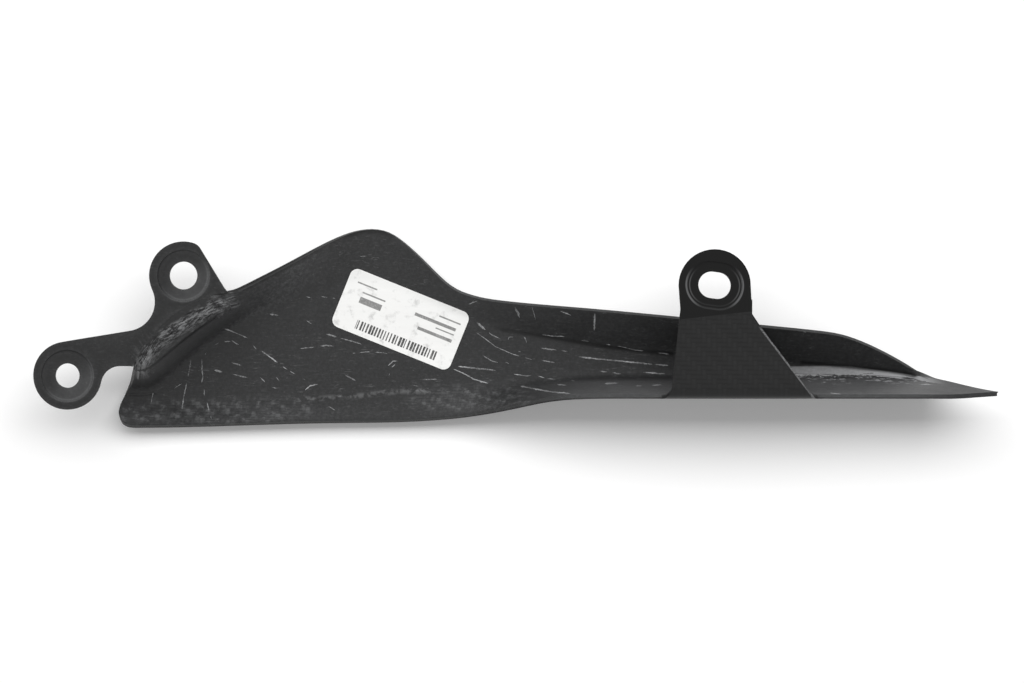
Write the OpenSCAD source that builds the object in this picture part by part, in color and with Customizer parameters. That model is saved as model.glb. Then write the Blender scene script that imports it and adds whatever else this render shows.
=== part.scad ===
// Chain guard of a motorcycle, moulded in one piece from a woven carbon laminate.
// It covers the outer side and the top of the upper chain run and bolts to the swingarm.
// X runs to the tail, +Z from the outer wall to the swingarm side.
// The origin is the centre of the front mounting bore, on the seat round it.

/* [Laminate] */
// Thickness of the moulded sheet
sheet_t = 1.8; // [1.4:0.1:2.2]
// Thickness of the front mounting plate, which has more plies
plate_t = 2.4; // [2.2:0.1:3.2]
// Depth from the mounting seats down to the outer wall
stand_off = 30; // [26:0.5:36]

/* [Front mounting plate] */
// Diameter of the front bore
front_bore_d = 9.8; // [6:0.1:12]
// Diameter of the upper bore
upper_bore_d = 11.2; // [6:0.1:13]
// Distance from the front bore to the upper bore along X
upper_x = 46.6; // [44:0.2:49]
// Distance from the front bore to the upper bore along Y
upper_y = 40.2; // [39:0.2:42]
// Outer radius of the two bosses
boss_r = 13.7; // [12.8:0.1:14.5]
// Radius of the round seat sunk into each boss
seat_r = 10.4; // [8:0.1:11]
// Depth of each seat at its shallow side, away from the other boss
seat_sink = 0.35; // [0.25:0.05:0.6]
// Laminate left under each seat
seat_t = 2.2; // [2.1:0.1:2.6]
// Slope of the arm's upper edge, in degrees
arm_slope = 9.3; // [7:0.1:11]
// Distance from the upper bore to the straight edge beside it
lobe_edge = 11.4; // [11.2:0.1:12.4]
// Radius of the corner between the upper arc and that straight edge
lobe_corner_r = 5; // [3:0.5:7]
// Height of the arm's lower edge over the front bore
arm_low_y = 3.8; // [3:0.1:4.6]
// Radius of the hollow between the front boss and the arm's lower edge
arm_hollow_r = 7.8; // [7:0.1:10]
// Radius of the hollow between the two bosses
neck_r = 11.7; // [11:0.1:13]
// Radius of the crown that the plate has between its bosses
crown_r = 800; // [600:10:1200]

/* [Panel outline] */
// Left end of the panel
left_x = 18.2; // [17:0.1:19.4]
// Lower edge of the panel at its left end
lower_y = -21.6; // [-24:0.1:-20]
// Radius of the panel's lower left corner
corner_r = 5.5; // [4:0.1:7]
// Notch between the mounting plate and the hump, along X
notch_x = 65.6; // [64.6:0.1:66.6]
// Notch between the mounting plate and the hump, along Y
notch_y = 33.9; // [33:0.1:34.6]
// Top of the hump, along X
hump_x = 122.5; // [118:0.5:127]
// Top of the hump, along Y
hump_y = 59.8; // [54:0.2:64]
// Foot of the hump's rear slope, along X
shoulder_x = 160; // [157:0.5:164]
// Foot of the hump's rear slope, along Y
shoulder_y = 33.4; // [31:0.2:35]
// Place where the outer wall begins to run out to the tail
runout_x = 312; // [308:0.5:318]
// Height of the outer wall's edge where the run-out begins
runout_y = 16.9; // [16:0.1:18]
// Tip of the tail
tail_x = 373.3; // [369:0.1:380]

/* [Web and folds] */
// Height of the web over the outer wall, at its free edge
web_h = 36; // [32:0.5:40]
// Place of the web's free edge along Y
web_y = -9.2; // [-10.4:0.1:-8]
// Width that the leaning web takes in plan
web_lean = 6.8; // [5:0.1:8]
// Bend radius between the outer wall and the web
web_bend_r = 6.5; // [5:0.1:8]
// Height of the free edge where the web is splayed out flat, at the left
splay_h = 7; // [5:0.5:9]
// Radius at the top of the step between plate and panel
step_top_r = 2.6; // [2:0.1:4]
// Radius at the foot of that step
step_foot_r = 8; // [6:0.5:10]
// Height of the rough ridge over the mounting seats
ridge_h = 1; // [0.6:0.1:1.4]
// Outward bulge of the panel
panel_bulge = 0.7; // [0.3:0.1:1.2]

/* [Rear tab] */
// Centre of the slot along X
tab_x = 259.6; // [256:0.2:264]
// Centre of the slot along Y
tab_y = 36.2; // [34.6:0.2:38]
// Height of the tab's face over the outer wall
tab_h = 38; // [37:0.2:39.5]
// Outer radius of the tab's head
tab_r = 14.4; // [13.8:0.1:15.4]
// Thickness of the tab's head
tab_t = 2; // [2:0.1:2.4]
// Length of the slot from end to end
slot_l = 13; // [11:0.1:14]
// Width of the slot
slot_w = 10.6; // [8:0.1:10.8]
// Turn of the slot about its centre, in degrees
slot_turn = -8; // [-12:1:0]
// Length of the sunk seat round the slot
tab_seat_l = 22.6; // [20:0.2:23.4]
// Width of the sunk seat round the slot
tab_seat_w = 18.8; // [16:0.2:19.6]
// Depth of the sunk seat round the slot
tab_seat_depth = 0.8; // [0.4:0.1:1]
// Radius of the fold from the web to the tab
fold_r = 4.5; // [3.8:0.1:5.5]
// Width that the tab gains on its left side down to the fold
flare_left = 7.5; // [5:0.1:9]
// Width that the tab gains on its right side down to the fold
flare_right = 27.4; // [22:0.1:30]
// Skew of the bend across the tab, from its left side to its right side
bend_skew = 3.2; // [0:0.1:4]

/* [Label] */
// Length of the paper label
label_l = 52; // [40:0.5:56]
// Width of the paper label
label_w = 25.4; // [20:0.2:27]
// Turn of the label, in degrees
label_turn = -22; // [-26:1:-18]
// Centre of the label along X
label_x = 133; // [129:0.5:137]
// Centre of the label along Y
label_y = 22.8; // [20:0.2:24]
// Radius of the label's corners
label_corner_r = 3.2; // [2:0.1:5]
// Thickness of the label
label_t = 0.15; // [0.1:0.01:0.3]

/* [Hidden] */
$fn = 72;

// How deep the sheet's rim is let into the thicker plate and into the tab's head
lap = 0.3;
head_lap = 0.1;
// Clear height of the label over the sheet, which is its glue film
glue_t = 0.1;
// Cuts run past the faces they pass through by this much
over = 1;

// Rows of the sheet over each run between folds, and over each fold
run_rows = [2, 2, 5, 3];
fold_rows = [3, 4, 4];
// Columns and rows of the tab's folded part
tab_cols = 12;
tab_fold_rows = 7;
tab_slope_rows = 4;

// Small helpers
function mix(a, b, s) = a + (b - a) * s;
function ease(s) = let (c = max(0, min(1, s))) c * c * (3 - 2 * c);
function unit(v) = v / norm(v);

// Value of a smooth curve through knots [x, value, value ...] at one x
function slope_at(knots, k) =
    let (a = max(0, k - 1), b = min(len(knots) - 1, k + 1))
    (knots[b] - knots[a]) / (knots[b][0] - knots[a][0]);
function curve_at(knots, x) =
    let (
        last = len(knots) - 2,
        k = max([0, for (i = [0:last]) if (knots[i][0] <= x) i]),
        a = knots[k],
        b = knots[k + 1],
        span = b[0] - a[0],
        s = (x - a[0]) / span
    )
    a * (2 * s * s * s - 3 * s * s + 1) + b * (3 * s * s - 2 * s * s * s)
    + slope_at(knots, k) * span * (s * s * s - 2 * s * s + s)
    + slope_at(knots, k + 1) * span * (s * s * s - s * s);

// Mounting plate: its crown is a very flat cylinder, highest half way between the bosses
span_dir = unit([upper_x, upper_y]);
half_span = norm([upper_x, upper_y]) / 2;
crown_rise = seat_sink + pow(half_span + seat_r, 2) / (2 * crown_r);
function crown_z(x, y) =
    let (d = [x, y] * span_dir - half_span)
    crown_rise - d * d / (2 * crown_r);
function rim_h(x, y) = stand_off + crown_z(x, y) - plate_t + lap;

// Rails along the outer face of the sheet, as [x, y, height over the outer wall]
// Edge of the sheet: let into the plate up to the notch, then the guard's upper edge
edge_knots = [
    [27.6, 7.5, rim_h(27.6, 7.5)],
    [33, 15.8, rim_h(33, 15.8)],
    [39, 22.5, rim_h(39, 22.5)],
    [45, 27, rim_h(45, 27)],
    [51, 30.2, rim_h(51, 30.2)],
    [59, notch_y - 0.6, rim_h(59, notch_y)],
    [notch_x - 1.5, notch_y + 0.2, stand_off - 2.4],
    [notch_x + 0.9, notch_y + 0.6, stand_off - 3.6],
    [notch_x + 6, notch_y + 3.2, stand_off - 7.4],
    [hump_x - 36.5, hump_y - 15, 15],
    [hump_x - 17.5, hump_y - 4.6, 8],
    [hump_x - 8, hump_y - 0.9, 5.4],
    [hump_x, hump_y, 4.4],
    [hump_x + 7, hump_y - 1.7, 4],
    [hump_x + 16.8, hump_y - 9.5, 4],
    [shoulder_x - 10.8, shoulder_y + 7, 4.6],
    [shoulder_x - 5.9, shoulder_y + 2.6, 5],
    [shoulder_x, shoulder_y, 5.6],
    [shoulder_x + 9, shoulder_y - 2.3, 6.6],
    [shoulder_x + 24, shoulder_y - 4, 8.4],
    [218, 26.5, 11],
    [281, 20.4, 12.6],
    [runout_x - 12, runout_y + 1.6, 12.4],
    [runout_x, runout_y, 11.6],
    [runout_x + 9, runout_y - 3, 10],
    [runout_x + 18, runout_y - 7.1, 7.8],
    [runout_x + 28.4, runout_y - 12.8, 5],
    [runout_x + 34, runout_y - 17.4, 3.9],
    [tail_x - 22.8, -2.9, 5],
    [tail_x - 18.5, -3.8, 9],
    [tail_x - 10, -6.1, 20.6],
    [tail_x - 4, -7.5, 29],
    [tail_x, -8.2, web_h - 2.6],
];
// Ridge at the top of the step, which runs out into the hump
ridge_knots = [
    [26.3, 3.1, stand_off - 1.6],
    [31, 4, stand_off + ridge_h - 0.6],
    [36, 8, stand_off + ridge_h],
    [43.5, 14.2, stand_off + ridge_h],
    [51, 20, stand_off + ridge_h],
    [58, 24.6, stand_off + ridge_h - 0.8],
    [notch_x - 1.5, 28.4, stand_off - 3],
    [notch_x + 4.4, 31.6, 20],
];
// Foot of the step, which goes over into the crease under the outer wall's edge
crease_knots = [
    [22.3, -3.2, 2.4],
    [30, -3.8, 1.6],
    [36, 0.4, 1.2],
    [43.5, 7, 1],
    [51, 13, 1],
    [60, 19.4, 1],
    [70, 24.4, 1],
    [83, 29, 0.9],
    [98, 35, 0.8],
    [112, 38.6, 0.8],
    [hump_x, 38, 0.6],
    [145, 29.8, 0.5],
    [170, 20.6, 0.5],
    [199, 14.2, 0.7],
    [231, 9, 1],
    [298, 3.9, 1.5],
    [runout_x + 26, 0.6, 2.2],
    [runout_x + 33, -0.8, 2.6],
    [tail_x - 22.8, -2.2, 3.6],
    [tail_x, -2.4, 5],
];
// Root of the web, where the sheet turns up towards the free edge
root_knots = [
    [18.5, -12, 1.4],
    [45, -12.2, 0.4],
    [95, -10.4, 0.2],
    [125, -8.4, 0.1],
    [145, -6.6, 0.1],
    [160, -6.4, 0.2],
    [178, -5.6, 0.5],
    [196, -4, 0.8],
    [214, web_y + web_lean, 1],
    [300, web_y + web_lean, 1.5],
    [runout_x + 26, web_y + web_lean, 2.2],
    [runout_x + 33, web_y + web_lean - 0.2, 3],
    [tail_x, web_y + web_lean - 2, 10],
];
// Free edge of the web, splayed at the left and upright from about half way
rim_knots = [
    [18, lower_y, splay_h + 1],
    [45, lower_y + 0.3, splay_h],
    [95, lower_y + 1.8, splay_h],
    [134, lower_y + 2.4, splay_h],
    [154, lower_y + 3.7, splay_h + 2],
    [164, lower_y + 5, splay_h + 5],
    [174, mix(lower_y, web_y, 0.54), mix(splay_h, web_h, 0.32)],
    [183.5, mix(lower_y, web_y, 0.71), mix(splay_h, web_h, 0.55)],
    [193, mix(lower_y, web_y, 0.9), mix(splay_h, web_h, 0.76)],
    [203, web_y - 0.3, mix(splay_h, web_h, 0.91)],
    [214, web_y, web_h - 0.6],
    [230, web_y, web_h],
    [345, web_y, web_h],
    [tail_x - 17, web_y, web_h],
    [tail_x - 7.3, web_y + 0.6, web_h],
    [tail_x, web_y + 1.1, web_h],
];

// Left of this place the stations fan out from the slanting left edge
fan_x = 70;
function fan(x, start) = x > fan_x ? x : start + (x - left_x) * (fan_x - start) / (fan_x - left_x);
function on_rail(knots, x) = let (fx = fan(x, knots[0][0])) curve_at(knots, fx);

// The ridge is only its own line up to the notch, then it lies on the sheet's slope
function edge_pt(x) = on_rail(edge_knots, x);
function crease_raw(x) = on_rail(crease_knots, x);
function root_raw(x) = on_rail(root_knots, x);
function rim_pt(x) =
    let (
        fx = fan(x, left_x),
        p = curve_at(rim_knots, max(rim_knots[0][0], fx)),
        d = max(0, corner_r - (fx - left_x))
    )
    [fx, p[1] + corner_r - sqrt(corner_r * corner_r - d * d), p[2]];

// Towards the tail's tip the wall is trimmed away and only the web is left
gone_from = tail_x - 33;
gone_to = tail_x - 21.5;
function gone(x) = ease((x - gone_from) / (gone_to - gone_from));
function crease_pt(x) = mix(crease_raw(x), mix(edge_pt(x), rim_pt(x), 0.32), gone(x));
function root_pt(x) = mix(root_raw(x), mix(edge_pt(x), rim_pt(x), 0.6), gone(x));
function ridge_pt(x) =
    let (
        past = ease((x - 58) / 14),
        last = ridge_knots[len(ridge_knots) - 1][0],
        on_step = on_rail(ridge_knots, min(x, last)),
        on_slope = mix(edge_pt(x), crease_pt(x), 0.5)
    )
    x > fan_x + 2 ? on_slope : mix(on_step, on_slope, past);

// Cross-section: straight runs between five points, with a fold at the middle three
function turn_len(a, b, c, r) =
    let (
        u = unit(b - a),
        v = unit(c - b),
        bend = acos(max(-1, min(1, u * v))),
        room = min(norm(b - a), norm(c - b))
    )
    max(0.2 * room, min(r * tan(bend / 2), 0.46 * room));
function run(a, b, n, sag) =
    [for (k = [0:n - 1]) mix(a, b, k / n) - [0, 0, sag * pow(sin(180 * k / n), 2)]];
function fold(a, corner, b, n) =
    [for (k = [0:n - 1]) let (s = k / n) mix(mix(a, corner, s), mix(corner, b, s), s)];
function section(x) =
    let (
        p = [edge_pt(x), ridge_pt(x), crease_pt(x), root_pt(x), rim_pt(x)],
        foot_r = mix(step_foot_r, 14, ease((x - 60) / 40)),
        root_r = mix(18, web_bend_r, ease((x - 120) / 90)),
        r = [step_top_r, foot_r, root_r],
        d = [for (k = [0:2]) turn_len(p[k], p[k + 1], p[k + 2], r[k])],
        before = [for (k = [0:2]) p[k + 1] + unit(p[k] - p[k + 1]) * d[k]],
        after = [for (k = [0:2]) p[k + 1] + unit(p[k + 2] - p[k + 1]) * d[k]],
        bulge = panel_bulge * pow(min(1, norm(before[2] - after[1]) / 20), 2) * (1 - gone(x))
    )
    concat(
        run(p[0], before[0], run_rows[0], 0),
        fold(before[0], p[1], after[0], fold_rows[0]),
        run(after[0], before[1], run_rows[1], 0),
        fold(before[1], p[2], after[1], fold_rows[1]),
        run(after[1], before[2], run_rows[2], bulge),
        fold(before[2], p[3], after[2], fold_rows[2]),
        run(after[2], p[4], run_rows[3], 0),
        [p[4]]
    );

// Stations along the guard, closer together where the outline turns quickly
tab_from = tab_x - tab_r - flare_left;
tab_to = tab_x + tab_r + flare_right;
stations = concat(
    [for (x = [left_x, left_x + 0.7, left_x + 1.8, left_x + 3.4]) x],
    [for (k = [0:15]) mix(left_x + 5.5, fan_x, k / 16)],
    [for (k = [0:6]) mix(fan_x, 110, k / 7)],
    [for (k = [0:12]) mix(110, 170, k / 13)],
    [for (k = [0:6]) mix(170, tab_from, k / 7)],
    [for (k = [0:tab_cols]) mix(tab_from, tab_to, k / tab_cols)],
    [for (k = [1:7]) mix(tab_to, gone_from, k / 7)],
    [for (k = [1:11]) mix(gone_from, tail_x, k / 11)]
);
corner_cols = 5;
tab_first = 4 + 16 + 7 + 13 + 7;

// Inner face of a grid of points, one sheet thickness away from the outer face
// At the rounded left corner the columns crowd together, and take their direction from the next one
function along(g, i, j) = g[min(i + 1, len(g) - 1)][j] - g[max(i - 1, 0)][j];
function across(g, i, j) = g[i][min(j + 1, len(g[i]) - 1)] - g[i][max(j - 1, 0)];
function inward(g, i, j) = unit(cross(across(g, i, j), along(g, i, j)));
function offset_grid(g, first) =
    [for (i = [0:len(g) - 1]) [for (j = [0:len(g[i]) - 1])
        g[i][j] + inward(g, max(i, first), j) * sheet_t]];

outer = [for (x = stations) section(x)];
inner = offset_grid(outer, corner_cols);
cols = len(outer);
rows = len(outer[0]);

// Folded part of the tab: it goes on from the web's free edge over the same stations
web_tilt = atan(web_lean / (web_h - 1));
fold_turn = 90 + web_tilt + 7;
fold_len = fold_r * fold_turn * PI / 180;
fold_mid = [web_y + fold_r * cos(web_tilt), web_h + fold_r * sin(web_tilt)];
bend_y = tab_y - 13.9;
tab_len = fold_len + bend_y - fold_mid[0] + 8;
function left_edge(l) =
    let (s = 1 - l / tab_len)
    tab_x - tab_r + 1.2 * (1 - s) - (flare_left - 3.8) * s - 3.8 * pow(max(0, 1 - l / 9), 2);
function right_edge(l) =
    let (s = max(0, 1 - l / (fold_len + bend_y - fold_mid[0])))
    tab_x + tab_r + 0.6 + (flare_right - 0.6) * pow(s, 0.92);
function tab_point(w, k) =
    let (
        bend_at = bend_y + bend_skew * w,
        end_turn = 180 + web_tilt - fold_turn,
        fold_end = fold_mid + fold_r * [cos(end_turn), sin(end_turn)],
        flat_h = tab_h - head_lap,
        slope_k = k - tab_fold_rows,
        flat_k = slope_k - tab_slope_rows,
        turn = 180 + web_tilt - fold_turn * k / tab_fold_rows,
        yz = k <= tab_fold_rows ? fold_mid + fold_r * [cos(turn), sin(turn)]
            : flat_k <= 0 ? mix(fold_end, [bend_at - 0.8, flat_h + 0.1], slope_k / tab_slope_rows)
            : [bend_at + [0, 0.2, 2.6, 5][flat_k], flat_h],
        l = k <= tab_fold_rows ? fold_len * k / tab_fold_rows : fold_len + yz[0] - fold_end[0]
    )
    [mix(left_edge(l), right_edge(l), w), yz[0], yz[1]];
tab_rows = tab_fold_rows + tab_slope_rows + 3;
tab_outer = [
    for (c = [0:tab_cols]) concat(
        [outer[tab_first + c][rows - 1]],
        [for (k = [1:tab_rows]) tab_point(c / tab_cols, k)]
    )
];
tab_inner = offset_grid(tab_outer, 0);

// Numbers of the points in the sheet's polyhedron
function outer_i(i, j) = i * rows + j;
function inner_i(i, j) = cols * rows + outer_i(i, j);
tab_base = 2 * cols * rows;
function tab_outer_i(c, k) = k == 0 ? outer_i(tab_first + c, rows - 1) : tab_base + c * tab_rows + k - 1;
function tab_inner_i(c, k) =
    k == 0 ? inner_i(tab_first + c, rows - 1) : tab_base + (tab_cols + 1 + c) * tab_rows + k - 1;
function quad(a, b, c, d) = [[a, b, c], [a, c, d]];
function join(lists) = [for (l = lists) each l];

sheet_points = [
    for (p = concat(
        join(outer),
        join(inner),
        join([for (col = tab_outer) [for (k = [1:tab_rows]) col[k]]]),
        join([for (col = tab_inner) [for (k = [1:tab_rows]) col[k]]])
    )) p - [0, 0, stand_off]
];
sheet_faces = join(concat(
    [for (i = [0:cols - 2]) for (j = [0:rows - 2])
        quad(outer_i(i, j), outer_i(i, j + 1), outer_i(i + 1, j + 1), outer_i(i + 1, j))],
    [for (i = [0:cols - 2]) for (j = [0:rows - 2])
        quad(inner_i(i, j), inner_i(i + 1, j), inner_i(i + 1, j + 1), inner_i(i, j + 1))],
    [for (i = [0:cols - 2])
        quad(outer_i(i, 0), outer_i(i + 1, 0), inner_i(i + 1, 0), inner_i(i, 0))],
    [for (i = [0:cols - 2]) if (i < tab_first || i >= tab_first + tab_cols)
        quad(outer_i(i, rows - 1), inner_i(i, rows - 1),
            inner_i(i + 1, rows - 1), outer_i(i + 1, rows - 1))],
    [for (j = [0:rows - 2])
        quad(outer_i(0, j), inner_i(0, j), inner_i(0, j + 1), outer_i(0, j + 1))],
    [for (j = [0:rows - 2])
        quad(outer_i(cols - 1, j), outer_i(cols - 1, j + 1),
            inner_i(cols - 1, j + 1), inner_i(cols - 1, j))],
    [for (c = [0:tab_cols - 1]) for (k = [0:tab_rows - 1])
        quad(tab_outer_i(c, k), tab_outer_i(c, k + 1),
            tab_outer_i(c + 1, k + 1), tab_outer_i(c + 1, k))],
    [for (c = [0:tab_cols - 1]) for (k = [0:tab_rows - 1])
        quad(tab_inner_i(c, k), tab_inner_i(c + 1, k),
            tab_inner_i(c + 1, k + 1), tab_inner_i(c, k + 1))],
    [for (k = [0:tab_rows - 1])
        quad(tab_outer_i(0, k), tab_inner_i(0, k), tab_inner_i(0, k + 1), tab_outer_i(0, k + 1))],
    [for (k = [0:tab_rows - 1])
        quad(tab_outer_i(tab_cols, k), tab_outer_i(tab_cols, k + 1),
            tab_inner_i(tab_cols, k + 1), tab_inner_i(tab_cols, k))],
    [for (c = [0:tab_cols - 1])
        quad(tab_outer_i(c, tab_rows), tab_inner_i(c, tab_rows),
            tab_inner_i(c + 1, tab_rows), tab_outer_i(c + 1, tab_rows))]
));

// The moulded sheet: outer wall, step, web and the folded part of the tab
module sheet() {
    polyhedron(points = sheet_points, faces = sheet_faces, convexity = 6);
}

// Outline of the front mounting plate, with tangent arcs at its hollows
arm_dir = [cos(arm_slope), sin(arm_slope)];
arm_up = [-sin(arm_slope), cos(arm_slope)];
upper = [upper_x, upper_y];
// Centre of the hollow between the bosses: clear of the arm's edge and of the upper boss
neck_base = arm_up * (boss_r + neck_r);
neck_gap = upper - neck_base;
neck_along = neck_gap * arm_dir
    - sqrt(pow(boss_r + neck_r, 2) - pow(neck_gap * arm_up, 2));
neck_c = neck_base + arm_dir * neck_along;
// Centre of the hollow under the arm
hollow_c = [sqrt(pow(boss_r + arm_hollow_r, 2) - pow(arm_low_y - arm_hollow_r, 2)),
    arm_low_y - arm_hollow_r];
// Straight edge beside the upper boss, from its upper corner down to the notch
lobe_foot = [notch_x - 2.7, notch_y + 1.4];
lobe_gap = norm(lobe_foot - upper);
lobe_side = atan2(lobe_foot[1] - upper_y, lobe_foot[0] - upper_x) + acos(lobe_edge / lobe_gap);
lobe_out = [cos(lobe_side), sin(lobe_side)];
lobe_dir = [-lobe_out[1], lobe_out[0]];
lobe_corner = upper + lobe_out * (lobe_edge - lobe_corner_r)
    + lobe_dir * sqrt(pow(boss_r - lobe_corner_r, 2) - pow(lobe_edge - lobe_corner_r, 2));
// The plate stops just past the line where the sheet's edge is let into it
plate_past = 0.8;
plate_stop = [for (k = [0:8]) let (p = curve_at(edge_knots, mix(28.4, notch_x - 1.5, k / 8)))
    [p[0] + plate_past * 0.55, p[1] - plate_past * 0.83]];

// Points along an arc round c, from one angle to another
function arc(c, r, from, to, n) = [for (k = [0:n]) c + r * [cos(mix(from, to, k / n)), sin(mix(from, to, k / n))]];
function heading(v) = atan2(v[1], v[0]);
corner_at = heading(lobe_corner - upper);
plate_points = concat(
    arc([0, 0], boss_r, heading(hollow_c), arm_slope - 270, 32),
    arc(neck_c, neck_r, arm_slope - 90, heading(upper - neck_c), 14),
    arc(upper, boss_r, heading(neck_c - upper) + 360, corner_at, 20),
    arc(lobe_corner, lobe_corner_r, corner_at, lobe_side, 6),
    [lobe_foot],
    [for (k = [len(plate_stop) - 1:-1:0]) plate_stop[k]],
    [[26.6, arm_low_y]],
    arc(hollow_c, arm_hollow_r, 90, heading(-hollow_c), 10)
);

module plate_outline() {
    polygon(plate_points);
}

// A layer of the crowned plate: the outline between two very flat cylinders
module crowned_plate() {
    crown_mid = span_dir * half_span;
    spin = atan2(span_dir[1], span_dir[0]);
    intersection() {
        translate([0, 0, -plate_t - 6]) linear_extrude(plate_t + 12) plate_outline();
        translate([crown_mid[0], crown_mid[1], crown_rise - crown_r])
            rotate([90, 0, spin])
            difference() {
                cylinder(h = 160, r = crown_r, center = true, $fn = 360);
                cylinder(h = 162, r = crown_r - plate_t, center = true, $fn = 360);
            }
    }
}

// Seat of one boss: a pad behind it, the sunk face and the bore
module seat_pad() {
    translate([0, 0, -seat_t]) cylinder(h = seat_t, r = seat_r);
}
module seat_cut(bore_d) {
    cylinder(h = 6, r = seat_r);
    translate([0, 0, -seat_t - over]) cylinder(h = seat_t + 2 * over, d = bore_d);
}

// Oblong with round ends, as long as l and as wide as w
module oblong(l, w) {
    for (side = [-1, 1]) translate([side * (l - w) / 2, 0]) circle(d = w);
    square([l - w, w], center = true);
}

// Flat head of the tab with its sunk oblong seat
module tab_head() {
    z = tab_h - stand_off;
    translate([tab_x, tab_y, z - tab_t]) linear_extrude(tab_t) union() {
        circle(tab_r);
        polygon([
            [-tab_r, 0],
            [-tab_r + 1, bend_y - tab_y + 0.3],
            [tab_r + 0.5, bend_y - tab_y + bend_skew + 0.3],
            [tab_r, 0]
        ]);
    }
    translate([tab_x, tab_y, z - tab_t - tab_seat_depth]) rotate(slot_turn)
        linear_extrude(tab_t) oblong(tab_seat_l + 0.4, tab_seat_w + 0.4);
}
module tab_cuts() {
    z = tab_h - stand_off;
    translate([tab_x, tab_y, z - tab_seat_depth]) rotate(slot_turn)
        linear_extrude(3) oblong(tab_seat_l, tab_seat_w);
    translate([tab_x, tab_y, z - tab_t - tab_seat_depth - over]) rotate(slot_turn)
        linear_extrude(tab_t + 4) oblong(slot_l, slot_w);
}

module guard() {
    color([0.17, 0.175, 0.18])
    difference() {
        union() {
            sheet();
            crowned_plate();
            seat_pad();
            translate(upper) seat_pad();
            tab_head();
        }
        seat_cut(front_bore_d);
        translate(upper) seat_cut(upper_bore_d);
        tab_cuts();
    }
}

// Height of the sheet's inner face at one place on the panel
function column_height(i, y) =
    let (col = [for (p = inner[i]) if (p[2] < 20) [p[1], p[2]]])
    lookup(y, col);
function panel_height(x, y) =
    let (
        i = max([for (k = [0:cols - 2]) if (stations[k] <= x) k]),
        s = (x - stations[i]) / (stations[i + 1] - stations[i])
    )
    mix(column_height(i, y), column_height(i + 1, y), s);

// The label follows the panel: rows of points over its rounded oblong outline
label_cols = 18;
label_rows = 8;
function label_half(u) =
    let (d = max(0, abs(u) - (label_l / 2 - label_corner_r)))
    label_w / 2 - label_corner_r + sqrt(max(0, label_corner_r * label_corner_r - d * d));
function label_u(k) =
    let (s = 2 * k / label_cols - 1)
    label_l / 2 * sin(90 * s) * 0.5 + label_l / 4 * s;
function label_point(k, j, lift) =
    let (
        u = label_u(k),
        v = label_half(u) * (2 * j / label_rows - 1),
        x = label_x + u * cos(label_turn) - v * sin(label_turn),
        y = label_y + u * sin(label_turn) + v * cos(label_turn)
    )
    [x, y, panel_height(x, y) - stand_off + lift];
function label_i(k, j, top) = top * (label_cols + 1) * (label_rows + 1) + k * (label_rows + 1) + j;
label_points = [
    for (top = [0, 1]) for (k = [0:label_cols]) for (j = [0:label_rows])
        label_point(k, j, glue_t + top * label_t)
];
label_faces = join(concat(
    [for (k = [0:label_cols - 1]) for (j = [0:label_rows - 1])
        quad(label_i(k, j, 1), label_i(k, j + 1, 1), label_i(k + 1, j + 1, 1), label_i(k + 1, j, 1))],
    [for (k = [0:label_cols - 1]) for (j = [0:label_rows - 1])
        quad(label_i(k, j, 0), label_i(k + 1, j, 0), label_i(k + 1, j + 1, 0), label_i(k, j + 1, 0))],
    [for (k = [0:label_cols - 1]) for (j = [0, label_rows])
        j == 0
            ? quad(label_i(k, j, 0), label_i(k, j, 1), label_i(k + 1, j, 1), label_i(k + 1, j, 0))
            : quad(label_i(k, j, 0), label_i(k + 1, j, 0), label_i(k + 1, j, 1), label_i(k, j, 1))],
    [for (j = [0:label_rows - 1]) for (k = [0, label_cols])
        k == 0
            ? quad(label_i(k, j, 0), label_i(k, j + 1, 0), label_i(k, j + 1, 1), label_i(k, j, 1))
            : quad(label_i(k, j, 0), label_i(k, j, 1), label_i(k, j + 1, 1), label_i(k, j + 1, 0))]
));

// Paper label stuck on the inner face of the panel
module label() {
    color([0.93, 0.93, 0.91])
    polyhedron(points = label_points, faces = label_faces, convexity = 2);
}

guard();
label();
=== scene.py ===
# %% [markdown]
# # A moulded chain guard, dressed for its photograph
# The guard is one skin of woven carbon laminate. It lies with its outer face down, so the camera
# looks into the side where the vacuum bag lay: dull resin, small ridges where the bag had folded,
# and a rough band where the cloth bridged a step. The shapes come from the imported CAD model.
# Blender adds what a solid modeller leaves out: the lumpy band, the ridges of resin, the weave.

import math
import random

import bmesh
import bpy
import numpy as np
from mathutils import Matrix, Vector, noise
from mathutils.bvhtree import BVHTree


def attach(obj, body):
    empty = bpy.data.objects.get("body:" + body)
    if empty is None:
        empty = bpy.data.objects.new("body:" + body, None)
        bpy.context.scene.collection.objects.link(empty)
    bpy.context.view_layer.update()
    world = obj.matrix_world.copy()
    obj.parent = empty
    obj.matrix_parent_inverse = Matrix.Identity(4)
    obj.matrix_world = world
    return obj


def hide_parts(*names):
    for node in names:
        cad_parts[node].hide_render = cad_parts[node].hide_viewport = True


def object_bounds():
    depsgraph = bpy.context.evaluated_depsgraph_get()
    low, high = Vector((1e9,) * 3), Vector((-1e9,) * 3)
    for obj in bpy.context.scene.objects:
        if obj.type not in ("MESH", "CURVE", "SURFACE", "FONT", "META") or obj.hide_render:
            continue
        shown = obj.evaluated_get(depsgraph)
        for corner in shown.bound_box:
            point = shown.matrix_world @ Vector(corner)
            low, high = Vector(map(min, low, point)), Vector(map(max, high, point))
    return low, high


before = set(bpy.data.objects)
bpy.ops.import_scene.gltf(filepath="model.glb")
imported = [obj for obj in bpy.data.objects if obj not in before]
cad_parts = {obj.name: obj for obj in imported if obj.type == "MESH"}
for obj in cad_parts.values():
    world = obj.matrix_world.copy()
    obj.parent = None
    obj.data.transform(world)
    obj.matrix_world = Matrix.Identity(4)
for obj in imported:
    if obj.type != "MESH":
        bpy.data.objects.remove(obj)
cad_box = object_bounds()
MM = 0.001


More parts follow.
